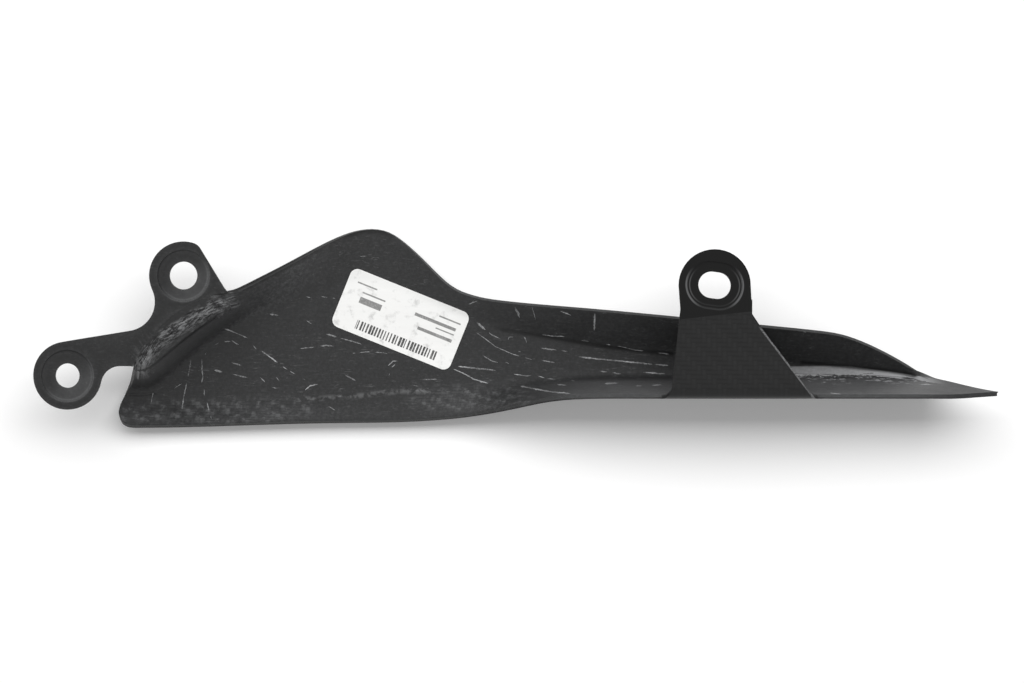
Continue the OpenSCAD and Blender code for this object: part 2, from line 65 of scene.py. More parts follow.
def in_mm(box):
    return [[round(c / MM, 2) for c in corner] for corner in box]


print("nodes:", sorted(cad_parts), "box in mm:", in_mm(cad_box))

# %% [markdown]
# ## Shader maths as Python expressions
# A material is a graph of small sums. Wiring each Math node by hand hides what is worked out, so a
# small class wraps a socket and turns `a * b + 0.1` into nodes. One method makes any other node.

# %% A wrapped socket
class Value:
    """A number that varies over the surface; sums on it become Math nodes."""

    def __init__(self, shade, socket):
        self.shade, self.socket = shade, socket

    def __add__(self, other):
        return self.shade.maths("ADD", self, other)

    def __sub__(self, other):
        return self.shade.maths("SUBTRACT", self, other)

    def __rsub__(self, other):
        return self.shade.maths("SUBTRACT", other, self)

    def __mul__(self, other):
        return self.shade.maths("MULTIPLY", self, other)

    __radd__, __rmul__ = __add__, __mul__


print("a value can be added, subtracted and multiplied")

# %% A material or sky that makes its own nodes
class Shade:
    """One material or sky, and the one method that adds a node to it."""

    def __init__(self, name, owners):
        self.owner = owners.new(name)
        self.owner.use_nodes = True
        self.tree = self.owner.node_tree
        self.tree.nodes.clear()

    def node(self, kind, settings=None, sockets=None, out=0):
        """Makes a node: its settings first, then the numbers or links of its sockets."""
        made = self.tree.nodes.new("ShaderNode" + kind)
        for key, setting in (settings or {}).items():
            setattr(made, key, setting)
        for key, given in (sockets or {}).items():
            if isinstance(given, Value):
                self.tree.links.new(given.socket, made.inputs[key])
            else:
                made.inputs[key].default_value = given
        return Value(self, made.outputs[out])

    def maths(self, operation, *values):
        return self.node("Math", {"operation": operation}, dict(enumerate(values)))

    def band(self, value, low, high):
        """0 below low, 1 above high, and a soft step between them."""
        return self.node("MapRange", {"interpolation_type": "SMOOTHSTEP"},
                         {"Value": value, "From Min": low, "From Max": high})

    def attribute(self, name):
        """A mask that is painted on the vertices."""
        return self.node("Attribute", {"attribute_name": name}, out="Fac")

    def noise(self, place, scale, detail, roughness):
        return self.node("TexNoise", None,
                         {"Vector": place, "Scale": scale, "Detail": detail, "Roughness": roughness})

    def bump(self, relief, strength, distance):
        """A normal that leans as if the surface had this relief."""
        sockets = {"Strength": strength, "Distance": distance, "Height": relief}
        return self.node("Bump", None, sockets, out="Normal")

    def surface(self, shader, output="OutputMaterial"):
        """Ends the tree with its output and gives the finished material or sky."""
        made = self.tree.nodes.new("ShaderNode" + output)
        self.tree.links.new(shader.socket, made.inputs["Surface"])
        return self.owner


def grey(level):
    return (level, level, level, 1)


print("shader helpers ready")

# %% [markdown]
# ## A finer copy of the moulding
# The solid is made of flat facets, and a smooth skin shows them in its gloss. The copy has its
# loose triangles merged, joined to quads, and its sharp rims creased, so one level of subdivision
# rounds the folds and leaves the rims where they are. A remesh would do that too, but it would
# soften every rim and bore.

# %% Copy the guard
def copy_node(node, name):
    """A piece of its own with a copy of a CAD node's mesh."""
    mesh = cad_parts[node].data.copy()
    mesh.name = name
    mesh.materials.clear()
    piece = bpy.data.objects.new(name, mesh)
    bpy.context.scene.collection.objects.link(piece)
    return piece


def bake_modifiers(piece):
    """Puts the modifiers' result into the piece's mesh."""
    graph = bpy.context.evaluated_depsgraph_get()
    mesh = bpy.data.meshes.new_from_object(piece.evaluated_get(graph))
    piece.modifiers.clear()
    piece.data = mesh


shell = copy_node("guard", "guard_shell")
print("faces in the copy:", len(shell.data.polygons))

# %% Which edges stay sharp
# An edge is kept sharp if it folds by more than this: first anywhere, then on the tab's head.
RIM_FOLD, BEND_FOLD = math.radians(34), math.radians(2.5)
HEAD_Y, HEAD_Z = 19 * MM, 5 * MM


def in_head(place):
    """True past the bend that parts the tab's slope from its flat head."""
    return place.y > HEAD_Y and place.z > HEAD_Z


def crisp(edge):
    """True for a rim, and for the slight but sharp bend between the tab's slope and its head."""
    if len(edge.link_faces) != 2:
        return True
    middle = (edge.verts[0].co + edge.verts[1].co) / 2
    return edge.calc_face_angle() > (BEND_FOLD if in_head(middle) else RIM_FOLD)


print("a rim folds by more than", round(math.degrees(RIM_FOLD)), "degrees")

# %% Merge the copy to quads and subdivide it once
WELD, SLIVER = 0.003 * MM, 0.002 * MM
QUAD_FOLD, QUAD_SKEW = math.radians(24), math.radians(50)


def to_quads(work):
    """Merges loose triangles, joins them to quads and creases the crisp edges."""
    bmesh.ops.remove_doubles(work, verts=work.verts, dist=WELD)
    bmesh.ops.dissolve_degenerate(work, edges=work.edges, dist=SLIVER)
    moulded = [face for face in work.faces if not in_head(face.calc_center_median())]
    bmesh.ops.join_triangles(work, faces=moulded, angle_face_threshold=QUAD_FOLD,
                             angle_shape_threshold=QUAD_SKEW)
    crease = work.edges.layers.float.new("crease_edge")
    for edge in work.edges:
        if crisp(edge):
            edge[crease] = 1


work = bmesh.new()
work.from_mesh(shell.data)
to_quads(work)
work.to_mesh(shell.data)
work.free()
rounder = shell.modifiers.new("round", "SUBSURF")
rounder.levels = rounder.render_levels = 1
rounder.boundary_smooth = "PRESERVE_CORNERS"
bake_modifiers(shell)
print("faces after rounding:", len(shell.data.polygons))

# %% [markdown]
# ## Where things are on the skin
# Marks on the skin are given as lines in plan, in millimetres. A vertex's distance to a line says
# how strongly the mark acts there. They could be painted by hand in weight paint mode, but a line
# is a few numbers that can be moved. The laminate has a bag side and a mould side. They are told
# apart by the way a vertex faces: down and out on the mould side, but up on the folded tab.

# %% Distances to lines in plan
def measure(line, places):
    """Each place's distance from a line in plan, how far along it, and how far to its left."""
    ends = np.array(line) * MM
    best, run, left = np.full(len(places), np.inf), np.zeros(len(places)), np.zeros(len(places))
    passed = 0
    for start, end in zip(ends[:-1], ends[1:]):
        along = end - start
        length = np.hypot(*along)
        share = np.clip(((places - start) @ along) / length ** 2, 0, 1)
        gap = places - (start + share[:, None] * along)
        distance = np.hypot(gap[:, 0], gap[:, 1])
        nearer = distance < best
        best = np.where(nearer, distance, best)
        run = np.where(nearer, passed + share * length, run)
        left = np.where(nearer, (along[0] * gap[:, 1] - along[1] * gap[:, 0]) / length, left)
        passed += length
    return best, run, left


def distance_to(lines, places):
    return np.minimum.reduce([measure(line, places)[0] for line in lines])


def soft(values, low, high):
    """0 below low, 1 above high, and a soft step between them."""
    share = np.clip((values - low) / (high - low), 0, 1)
    return share * share * (3 - 2 * share)


def read_places(mesh):
    places, facing = np.zeros(len(mesh.vertices) * 3), np.zeros(len(mesh.vertices) * 3)
    mesh.vertices.foreach_get("co", places)
    mesh.vertices.foreach_get("normal", facing)
    return places.reshape(-1, 3), facing.reshape(-1, 3)


print("a place 1 mm off a line measures", measure([(0, 0), (2, 0)], np.array([[MM, MM]]))[0][0] / MM)

# %% Which side of the laminate a vertex is on
# Where the tab and the step's wall begin and end, as pairs in millimetres between which they fade.
TAB_X, TAB_FOOT_Y, TAB_FOOT_Z, TAB_TOP_Z = (220, 228), (-6.5, -5), (3, 4.5), (6.4, 7.4)
STEP_X, STEP_LOW_Z, STEP_TOP_Z, STEP_Y = (140, 160), (-27, -24), (-3, -1), -6
# The way that the mould side faces on the shell, on the tab and on the step's wall.
SHELL_WAY, TAB_WAY, STEP_WAY = (0, -0.55, -0.83), (0, -0.5, 0.87), (-0.5, 0.8, -0.33)


def mould_side(places, facing):
    """1 on the face that lay in the mould, 0 on the face under the bag."""
    x, y, z = (places / MM).T
    tab_foot = soft(y, *TAB_FOOT_Y) * soft(z, *TAB_FOOT_Z)
    on_tab = np.maximum(tab_foot, soft(z, *TAB_TOP_Z)) * soft(x, *TAB_X)
    on_step = (1 - soft(x, *STEP_X)) * soft(z, *STEP_LOW_Z) * (1 - soft(z, *STEP_TOP_Z)) * (y > STEP_Y)
    down, up, step = [facing @ np.array(way) for way in (SHELL_WAY, TAB_WAY, STEP_WAY)]
    side = down * (1 - on_tab) * (1 - on_step) + up * on_tab + step * on_step
    return soft(side, -0.15, 0.15)


print("facing down on the plate:", mould_side(np.zeros((1, 3)), np.array([[0, 0, -1.0]]))[0])

# %% [markdown]
# ## The rough band and the grooves
# Where the cloth bridged the inner edge of the step, the bag left a torn, lumpy band of resin and
# loose fibre. Its lumps and pits are up to 0.8 mm high and deep. A bump in the material would be
# enough for its grain, but not for its shadows or for the exported mesh. So it is real shape: the
# mesh is cut finer there and pushed along its normals by layered noise. Two shallow grooves run
# along the web's bend, and a low ridge lies where the panel's lower edge begins to splay.

# %% Cut the mesh finer near the marks
TORN_LINE = [(28.7, 0.7), (30.3, 4.3), (33.2, 9.1), (38.1, 14.4), (45.8, 19.6), (54.1, 24.3),
             (61, 28.2), (65, 29.5)]
GROOVE_LINES = [
    [(175, 18.3), (198, 14.4), (215, 11.6), (230, 9.6), (244, 8.4)],
    [(297, 5), (315, 3.3), (332, 1.6), (343, -0.2)],
]
SPLAY_RIDGE = [(92, -9.9), (104, -9.4), (115, -8.5), (126, -7.4), (135, -6.6), (143, -6.3)]
UPWARD = 0.2


def cut_finer(work, lines, reach, longest, passes):
    """Halves the upper side's edges that are near the lines, until they are short enough."""
    for _ in range(passes):
        work.normal_update()
        edges = [e for e in work.edges if e.calc_length() > longest
                 and e.verts[0].normal.z + e.verts[1].normal.z > UPWARD]
        middles = np.array([((e.verts[0].co + e.verts[1].co) / 2)[:2] for e in edges])
        close = distance_to(lines, middles) < reach
        bmesh.ops.subdivide_edges(work, edges=[e for e, wanted in zip(edges, close) if wanted],
                                  cuts=1, use_grid_fill=True)


work = bmesh.new()
work.from_mesh(shell.data)
cut_finer(work, [TORN_LINE], reach=5.5 * MM, longest=0.45 * MM, passes=4)
cut_finer(work, GROOVE_LINES + [SPLAY_RIDGE], reach=2 * MM, longest=0.9 * MM, passes=3)
bmesh.ops.triangulate(work, faces=[f for f in work.faces if len(f.verts) > 4])
work.normal_update()
work.to_mesh(shell.data)
work.free()
print("faces after cutting:", len(shell.data.polygons))

# %% How strongly each mark acts on each vertex
# Pairs between which a mark fades: half its width, and the height where it begins or ends.
BAG_FACING = (-0.3, 0.1)
TORN_HALF, TORN_Z = (2.6 * MM, 4.5 * MM), (-16 * MM, -9 * MM)
GROOVE_HALF, GROOVE_Z = (0, 1.3 * MM), (-24 * MM, -20 * MM)
RIDGE_HALF, RIDGE_Z = (0.2 * MM, 1.6 * MM), (-26 * MM, -22 * MM)
# The torn band's edge wanders by up to 1.7 mm.
RAGGED, RAGGED_GRAIN, RAGGED_REACH = 1.7, 0.45, 6 * MM

places, facing = read_places(shell.data)
plan, upright = places[:, :2], places[:, 2]
mould = mould_side(places, facing)
bag = (1 - mould) * soft(facing[:, 2], *BAG_FACING)
torn_gap, torn_run, torn_left = measure(TORN_LINE, plan)
ragged = [noise.noise(Vector(place) / MM * RAGGED_GRAIN) if gap < RAGGED_REACH else 0
          for place, gap in zip(places, torn_gap)]
torn_edge = torn_gap + np.array(ragged) * RAGGED * MM
torn = bag * (1 - soft(torn_edge, *TORN_HALF)) * soft(upright, *TORN_Z)
groove = bag * (1 - soft(distance_to(GROOVE_LINES, plan), *GROOVE_HALF))
groove *= 1 - soft(upright, *GROOVE_Z)
ridge = bag * (1 - soft(distance_to([SPLAY_RIDGE], plan), *RIDGE_HALF))
ridge *= 1 - soft(upright, *RIDGE_Z)
print("vertices in the torn band:", int((torn > 0.5).sum()))

# %% Push the band, the grooves and a slight unevenness into the bag side
LUMP, STREAK, GROOVE, RIDGE, WAVE = 0.75 * MM, 0.55 * MM, 0.22 * MM, 0.14 * MM, 0.05 * MM
LUMP_GRAIN, STREAK_GRAIN, WAVE_LONG = (0.55, 0.7, 3), (0.22, 1.5, 7), 13
FAINT = 0.01


def banded(run, left, grain):
    """Noise with its own scale along the band and across it, on a layer of its own."""
    along, across, layer = grain
    return noise.noise(Vector((run * along, left * across, layer)))


push = np.zeros(len(places))
for i, place in enumerate(places):
    push[i] = bag[i] * WAVE * noise.noise(Vector(place) / MM / WAVE_LONG)
    if torn[i] > FAINT:
        run, left = torn_run[i] / MM, torn_left[i] / MM
        lump, streak = banded(run, left, LUMP_GRAIN), banded(run, left, STREAK_GRAIN)
        push[i] += torn[i] * (LUMP * lump + STREAK * streak)
push += ridge * RIDGE - groove * GROOVE
moved = places + facing * push[:, None]
print("largest push in mm:", round(float(np.abs(push).max() / MM), 2))

# %% Draw the tail's end back
# The end leans, so its last 0.1 mm is no more than the edge at one corner. That edge stays where it
# is, and the rest of the last 1.2 mm is drawn back by up to 0.8 mm.
TIP_BACK, TIP_LONG, TIP_EDGE = 0.8 * MM, 1.2 * MM, 0.1 * MM
tip_x = cad_box[1].x
tip_y = places[places[:, 0] > tip_x - TIP_EDGE, 1]
off_edge = (places[:, 1] - (tip_y.min() + tip_y.max()) / 2) / ((tip_y.max() - tip_y.min()) / 2)
moved[:, 0] -= TIP_BACK * soft(places[:, 0], tip_x - TIP_LONG, tip_x) * np.clip(off_edge ** 2, 0, 1)
shell.data.vertices.foreach_set("co", moved.ravel())
shell.data.update()
print("width of the tip's edge in mm:", round(float((tip_y.max() - tip_y.min()) / MM), 2))

# %% [markdown]
# ## Values painted on the vertices
# The finish changes from place to place: torn resin, a strip where the weave prints through, the
# glossier resin in the web's bend with a painted highlight, and painted light on slopes and on the
# web. Each is a soft mask, kept on the vertices and read by the material, which adds the fine grain.
# That is simpler than finding the places again in nodes.

# %% Masks for the material
PRINT_LINES = [[(22, -15.5), (45, -15.5), (92, -14)], [(141, -8.5), (160, -9.5), (181, -9.5)]]
PRINT_HALF = (3 * MM, 7 * MM)
# The glossy bend with its painted highlight: the Y of its lower and upper edge at each X, and where it
# begins and ends.
HIGHLIGHT_X = [290, 298.5, 306.6, 316.9, 324.6, 333, 341.5, 349.8, 356]
HIGHLIGHT_LOW = [-0.4, -0.4, -0.2, 0, 0, -1.2, -2, -3.1, -4]
HIGHLIGHT_HIGH = [3.7, 3.7, 3.9, 3.6, 2.5, 1.5, 0.2, -1.2, -2.4]
HIGHLIGHT_START, HIGHLIGHT_END = (289, 294), (338, 356)
WEB_START, WEB_END, WEB_Z, WEB_Y = (175, 215), (338, 360), (-27, -21), (-3, -1)
# Slopes get painted light that lifts their shade: the lean that begins to count and counts in full,
# its share at the left, the X between which it grows to 1, and the X between which it ends.
STEEP_LEAN, STEEP_LEFT, STEEP_X, STEEP_END = (0.06, 0.4), 0.6, (60, 75), (150, 175)


def paint(mesh, name, values):
    """Keeps a mask on the mesh, where the material's attribute node finds it."""
    layer = mesh.attributes.new(name, "FLOAT", "POINT")
    layer.data.foreach_set("value", np.asarray(values, np.float32))


x_mm, y_mm, z_mm = (places / MM).T
highlight_low, highlight_high = np.interp(x_mm, HIGHLIGHT_X, HIGHLIGHT_LOW), np.interp(x_mm, HIGHLIGHT_X, HIGHLIGHT_HIGH)
painted_slope_light = soft(1 - facing[:, 2], *STEEP_LEAN)
painted_slope_light = painted_slope_light * (STEEP_LEFT + (1 - STEEP_LEFT) * soft(x_mm, *STEEP_X)) * (1 - soft(x_mm, *STEEP_END))
web = soft(x_mm, *WEB_START) * soft(z_mm, *WEB_Z) * (1 - soft(y_mm, *WEB_Y)) * (1 - soft(x_mm, *WEB_END))
paint(shell.data, "mould", mould)
paint(shell.data, "torn", torn)
paint(shell.data, "torn_run", torn_run / MM)
paint(shell.data, "torn_left", torn_left / MM)
paint(shell.data, "printed", bag * (1 - soft(distance_to(PRINT_LINES, plan), *PRINT_HALF)))
paint(shell.data, "groove", groove)
paint(shell.data, "ridge", ridge)
paint(shell.data, "gloss_and_highlight", bag * soft(x_mm, *HIGHLIGHT_START) * (1 - soft(x_mm, *HIGHLIGHT_END)))
paint(shell.data, "highlight_up", (y_mm - highlight_low) / (highlight_high - highlight_low))
paint(shell.data, "painted_slope_light", bag * painted_slope_light)
paint(shell.data, "web", bag * web)
print("masks:", [layer.name for layer in shell.data.attributes if layer.data_type == "FLOAT"])

# %% Smooth shading, with the crisp edges kept sharp
shell.data.shade_smooth()
work = bmesh.new()
work.from_mesh(shell.data)
for edge in work.edges:
    edge.smooth = not crisp(edge)
sharp = sum(not edge.smooth for edge in work.edges)
work.to_mesh(shell.data)
work.free()
print("sharp edges:", sharp)

# %% [markdown]
# ## Ridges of resin
# Where the bagging film had folded, resin ran into the fold and set as a thin line that catches the
# light; its colour is pale resin with a painted highlight. Such a line could be a mask on the skin,
# but the mesh is too coarse for lines this thin. So each line is a few short dashes. A dash is a
# narrow grid, laid along its line with its middle row raised, and dropped on the skin by rays from
# above.

# %% The skin as something to drop things on
skin = bmesh.new()
skin.from_mesh(shell.data)
skin_tree = BVHTree.FromBMesh(skin)
skin.free()
DROP_FROM = cad_box[1].z + 10 * MM


def on_skin(x, y):
    """The top point of the skin under a place in plan, and which way it faces."""
    hit, normal, _, _ = skin_tree.ray_cast(Vector((x, y, DROP_FROM)), Vector((0, 0, -1)))
    return (hit, normal) if hit else (None, None)


print("skin's height at the panel's middle in mm:", round(on_skin(0.12, 0.01)[0].z / MM, 2))

# %% Where the film had folded
FILM_LINES = [
    [(30.9, -11.9), (31.5, -8.6), (31.9, -6.6)], [(32.4, -1.5), (33.1, 0.1)],
    [(47.3, 6.5), (46.8, 3.3), (46, -0.8), (45.1, -4.9), (44, -10.2), (43.7, -14.7)],
    [(39.4, -6.2), (41.9, -4.5), (43.9, -3.3)],
    [(52.9, 8.2), (54.2, 10.2), (56.2, 11.9), (59.5, 13.5), (64, 13.9)],
    [(63.6, 14.3), (65.6, 12.9), (67.2, 12.3)], [(72.4, 12.5), (73.4, 11.1), (74.5, 10)],
    [(76.7, 15.1), (79.5, 14.3)], [(75.8, 10), (80.7, 6.5), (85.6, 2.8), (93.3, -1.7), (96.3, -3.3)],
    [(82, -0.8), (84, -3.3)], [(80.3, -4.9), (82.8, -5.7)], [(93.7, -6.3), (95.9, -4.5), (99.6, -3.7)],
    [(91.6, 10.8), (95.9, 11.2), (102.4, 12.1), (106.1, 11.7)], [(79.2, 25), (83.6, 24.3)],
    [(77.3, 32), (79.1, 31.2)], [(91.9, 46.4), (93.1, 45.6)], [(94.2, 32.1), (96.7, 31.5)],
    [(100.4, 32.1), (106.6, 31.3)], [(94.1, 22.5), (97.9, 20)], [(102.4, 16.8), (107.3, 15.5)],
    [(58, 20), (63.6, 18), (70.8, 15)], [(56.6, 2), (65.6, 0), (70.8, -1.2)],
    [(74.5, 1.6), (75.3, -0.8), (77.9, -3.3)], [(100.9, -11.3), (104.2, -13.1), (107.5, -15.1)],
    [(51.5, -3.3), (52.1, -0.8), (51.7, 2), (51.7, 6.9)], [(53.8, -11.1), (54.7, -14.3), (56.2, -18.3)],
    [(52.8, -8.6), (52.5, -5.3)], [(108.2, 15.1), (113.5, 13.7), (117.5, 12.4)],
    [(108.2, 8.4), (119.6, 9.5), (125.8, 9.1), (128.6, 8.4)],
    [(127.2, 1.3), (128.1, 4), (129.9, 5.7), (132.1, 5.7)], [(128.2, -0.4), (129.1, 2.8), (131.1, 4.7)],
    [(141.9, -1.8), (148.5, -1.8)], [(154.3, 2.6), (159.2, 0.4), (163.2, -1.8), (169.4, -3.6)],
    [(156.5, 3.5), (165, 2.6), (169.4, 2.2), (174.8, 1.3)],
    [(179.2, 0.4), (184.5, -0.4), (188, 0), (192.5, -1.4), (196.9, -1.8)],
    [(196.9, -3.8), (201.2, -4.1)], [(202.7, -2.2), (204.8, -2.4)],
    [(166.7, 8), (170.3, 5.7), (173.4, 4.9)],
    [(161.4, 19.1), (166.7, 15.5), (172, 11.5), (179.2, 8.4), (187.2, 6.2)],
    [(162.4, 23), (165.9, 20), (170.3, 16.4), (174.3, 14.6)],
    [(177, 14.2), (177.4, 15.5), (183.6, 15.5), (184.5, 13.7), (183.6, 9.3)],
    [(178.2, 10.2), (183.5, 9.3)], [(188, 16.9), (195.2, 15.9), (200.5, 15.7)],
    [(206.7, 14.2), (212.9, 13.3), (218.2, 12.4), (223.5, 11.5), (228.9, 10.2), (234.2, 9.7),
     (239.5, 8.9), (244.1, 8.4)],
    [(190.3, 11), (196.9, 10.2), (202.3, 9.5), (204.9, 8.4)],
    [(205.8, 7.5), (212.9, 6.6), (222.7, 5.7), (232.5, 4.7), (243.3, 3.8)],
    [(198.1, 26.1), (203.9, 23.9)], [(186.7, 27.9), (188.4, 22.1)], [(212.3, 25.2), (212.1, 17.7)],
    [(179.2, 28.7), (181, 25.3), (181.9, 23)], [(160.6, 28.8), (165.1, 30.5)],
    [(161.4, 27.8), (163.1, 31)], [(216.1, -3.4), (222.3, -3.1)], [(228.3, -4.3), (239.7, -3.8)],
    [(181.9, -4.5), (193.2, -6.5), (202.7, -7.3)], [(116.3, 48.5), (119.7, 48.5)],
    [(321.3, -1.8), (341, -2.9)], [(334, -4.1), (337.9, -4.3)], [(329.1, 1), (321.3, 0.4)],
    [(296.8, 17.8), (298.6, 17.3)], [(306, -6.9), (311, -7.5)], [(63.1, 5.3), (68.4, 3.7), (76.2, 0.4)],
    [(110.2, 0), (115.1, -2.5)], [(145, 10.2), (151.6, 7.8)], [(137.7, -4.1), (145.4, -5.7)],
    [(231, 1.2), (242.4, 0.4)], [(214.6, 1.6), (223.6, 0.4)], [(190.5, 6.1), (196.6, 4.9)],
    [(175.7, 5.3), (180.2, 3.7)],
]
print("folds:", len(FILM_LINES))

# %% Lay a dash on the skin
# A dash has three rows: the middle one is raised, and the outer two are sunk in the skin a little.
DASH_STEP, DASH_HEIGHT, DASH_SUNK, END_STEPS = 0.4 * MM, 0.1 * MM, 0.02 * MM, 3
DASH_ROWS, SIDE_LEAST, SIDE_MORE, SIDE_GRAIN = 3, 0.5, 1.1, 0.9


def walk(line, step):
    """Places at even steps along a line in plan, with the way it heads there."""
    ends = [Vector(p) * MM for p in line]
    for start, end in zip(ends[:-1], ends[1:]):
        count = max(1, round((end - start).length / step))
        for k in range(count):
            yield start.lerp(end, k / count), (end - start).normalized()


def sorted_grid(work, columns, rows):
    """The vertices of a new flat grid, column by column and from low to high."""
    made = bmesh.ops.create_grid(work, x_segments=columns - 1, y_segments=rows - 1, size=1)["verts"]
    return sorted(made, key=lambda v: (round(v.co.x, 4), round(v.co.y, 4)))


def lay_dash(work, spots, half):
    """A narrow grid along the spots, with ragged sides that lie down on the skin."""
    made = sorted_grid(work, len(spots), DASH_ROWS)
    for k, (place, heading) in enumerate(spots):
        taper = min(1, (k + 0.2) / END_STEPS, (len(spots) - 0.8 - k) / END_STEPS)
        left = Vector((-heading.y, heading.x)) * half * taper
        for row, vert in enumerate(made[DASH_ROWS * k:DASH_ROWS * (k + 1)]):
            grain = noise.noise(Vector((place.x, place.y, row * MM)) / MM * SIDE_GRAIN)
            spot = place + left * (row - 1) * (SIDE_LEAST + SIDE_MORE * abs(grain))
            hit, normal = on_skin(spot.x, spot.y)
            if hit is None:
                return False
            vert.co = hit + normal * (DASH_HEIGHT * taper if row == 1 else -DASH_SUNK)
    return True


print("dash step in mm:", round(DASH_STEP / MM, 2))

# %% Break each fold into dashes
FEWEST_STEPS, BREAK_LONG, BREAK_LEVEL = 4, 3.1, 0.35
chance = random.Random(7)


def dash_half():
    """Half a dash's width: mostly thin, with a broad flake now and then."""
    return (0.2 + 0.2 * chance.random() + 0.25 * chance.random() ** 6) * MM


def unbroken(line, solid):
    """The parts of a line where slow noise is high enough; a more solid line has fewer breaks."""
    run = []
    for spot in walk(line, DASH_STEP):
        slow = noise.noise(Vector((spot[0].x, spot[0].y, 0.3)) / MM / BREAK_LONG)
        if slow > BREAK_LEVEL - solid:
            run.append(spot)
        else:
            yield run
            run = []
    yield run


work = bmesh.new()
dashes = 0
for line in FILM_LINES:
    for run in unbroken(line, chance.uniform(0.45, 0.8)):
        if len(run) >= FEWEST_STEPS:
            dashes += lay_dash(work, run, dash_half())
bmesh.ops.recalc_face_normals(work, faces=work.faces)
film_mesh = bpy.data.meshes.new("film_ridges")
work.to_mesh(film_mesh)
work.free()
film = bpy.data.objects.new("film_ridges", film_mesh)
bpy.context.scene.collection.objects.link(film)
film.data.shade_smooth()
print("dashes:", dashes)

# %% [markdown]
# ## The paper label
# The label is a sheet of paper, stuck on the panel by hand. The solid one has few facets at its
# corners, so the visible one is laid anew at the same place and size. A Shrinkwrap modifier could
# lay it down, but rays from above keep its outline exact. It is a grid whose columns crowd into the
# corner arcs, dropped on the skin and given a rim, with waves of a few hundredths of a millimetre.
# It carries its own flat coordinates, so that the printed bars stay square to its edges.

# %% Lay the label on the skin
# The label's place and sizes are those of the solid.
LABEL_MIDDLE, LABEL_TURN = Vector((133, 22.8)) * MM, math.radians(-22)
LABEL_L, LABEL_W, LABEL_CORNER = 52, 25.4, 3.2
LABEL_LIFT, LABEL_RIM, LABEL_WAVE, WAVE_SPAN = 0.25 * MM, 0.17 * MM, 0.04 * MM, 5
ARC_COLS, FLAT_COLS, LABEL_ROWS = 9, 40, 24
FLAT_END = LABEL_L / 2 - LABEL_CORNER
# The flat coordinates cross a square of this many millimetres, with the label in its middle.
PRINT_SPAN = 100


def label_columns():
    """Places of the columns along the label: even in the middle, by angle in the corner arcs."""
    angles = [math.pi / 2 * k / ARC_COLS for k in range(1, ARC_COLS + 1)]
    arc = [FLAT_END + LABEL_CORNER * math.sin(angle) for angle in angles]
    flat = [FLAT_END * (2 * k / FLAT_COLS - 1) for k in range(FLAT_COLS + 1)]
    return [-place for place in reversed(arc)] + flat + arc


def label_half(along):
    """Half the label's width at a place along it, less in the corner arcs."""
    past = max(0, abs(along) - FLAT_END)
    return LABEL_W / 2 - LABEL_CORNER + math.sqrt(max(0, LABEL_CORNER ** 2 - past ** 2))


columns = label_columns()
work = bmesh.new()
made = sorted_grid(work, len(columns), LABEL_ROWS + 1)
layer = work.loops.layers.uv.new("print")
for k, along in enumerate(columns):
    for row, vert in enumerate(made[k * (LABEL_ROWS + 1):(k + 1) * (LABEL_ROWS + 1)]):
        flat = Vector((along, label_half(along) * (2 * row / LABEL_ROWS - 1)))
        for loop in vert.link_loops:
            loop[layer].uv = flat / PRINT_SPAN + Vector((0.5, 0.5))
        spot = LABEL_MIDDLE + Matrix.Rotation(LABEL_TURN, 2) @ flat * MM
        wave = LABEL_WAVE * noise.noise(Vector((flat.x, flat.y, 0)) / WAVE_SPAN)
        vert.co = on_skin(spot.x, spot.y)[0] + Vector((0, 0, LABEL_LIFT + wave))
print("label columns:", len(columns))

# %% Give the label a rim
rim = bmesh.ops.extrude_edge_only(work, edges=[e for e in work.edges if e.is_boundary])["geom"]
rim = [item for item in rim if isinstance(item, bmesh.types.BMVert)]
bmesh.ops.translate(work, verts=rim, vec=(0, 0, -LABEL_RIM))
bmesh.ops.recalc_face_normals(work, faces=work.faces)
label_mesh = bpy.data.meshes.new("label_sheet")
work.to_mesh(label_mesh)
work.free()
label = bpy.data.objects.new("label_sheet", label_mesh)
bpy.context.scene.collection.objects.link(label)
label.data.shade_smooth()
label.data.set_sharp_from_angle(angle=math.radians(50))
print("label faces:", len(label.data.polygons))

# %% [markdown]
# ## The laminate's finish
# The cloth is a two-by-two twill with tows 2 mm wide. On the mould side it shows under a satin
# coat. Under the bag it is drowned in dull resin, and prints through only along the splayed edge.
# A picture of cloth would need unwrapping and would stretch in the folds, so the pattern is worked
# out from Object coordinates. It runs on X and on Y minus Z, which keeps its scale on the panel and
# up the web alike.

# %% A twill pattern as height and tone
TOW = 2.05


def twill(shade, across, along):
    """The height of the top tow, and 1 where the tow that runs along is on top."""
    def fraction(value):
        return shade.maths("FRACT", value)

    def arch(value):
        side = fraction(value) * 2 - 1
        return 1 - side * side

    # Each cell counts a quarter on from the cell before it and from the row below it. At 0 and 1/4
    # the tow across is on top, at 3/4 the tow along, and 1/2 is half way between the two.
    step = across - fraction(across) + along - fraction(along)
    over = shade.band(fraction(step * 0.25), 0.49, 0.51)
    top = arch(across) * over + arch(along) * (1 - over)
    return top, over


print("twill of tows", TOW, "mm")

# %% Where a pattern lies, and the tint of the resin
def object_place(shade):
    """Object coordinates in millimetres, as a vector and as three values."""
    place = shade.node("VectorMath", {"operation": "SCALE"},
                       {0: shade.node("TexCoord", out="Object"), "Scale": 1 / MM})
    first = shade.node("SeparateXYZ", None, {0: place})
    return place, [Value(shade, first.socket.node.outputs[k]) for k in range(3)]


def stretched(shade, place, scale, turn=0.0):
    """The place turned about Z and scaled, for grain that runs one way."""
    return shade.node("Mapping", None, {"Vector": place, "Scale": scale, "Rotation": (0, 0, turn)})


def tinted(shade, level):
    """A grey that is the least bit cool, as resin over carbon is."""
    return shade.node("CombineColor", None, {0: level, 1: level * 1.01, 2: level * 1.03})


print("pattern helpers ready")
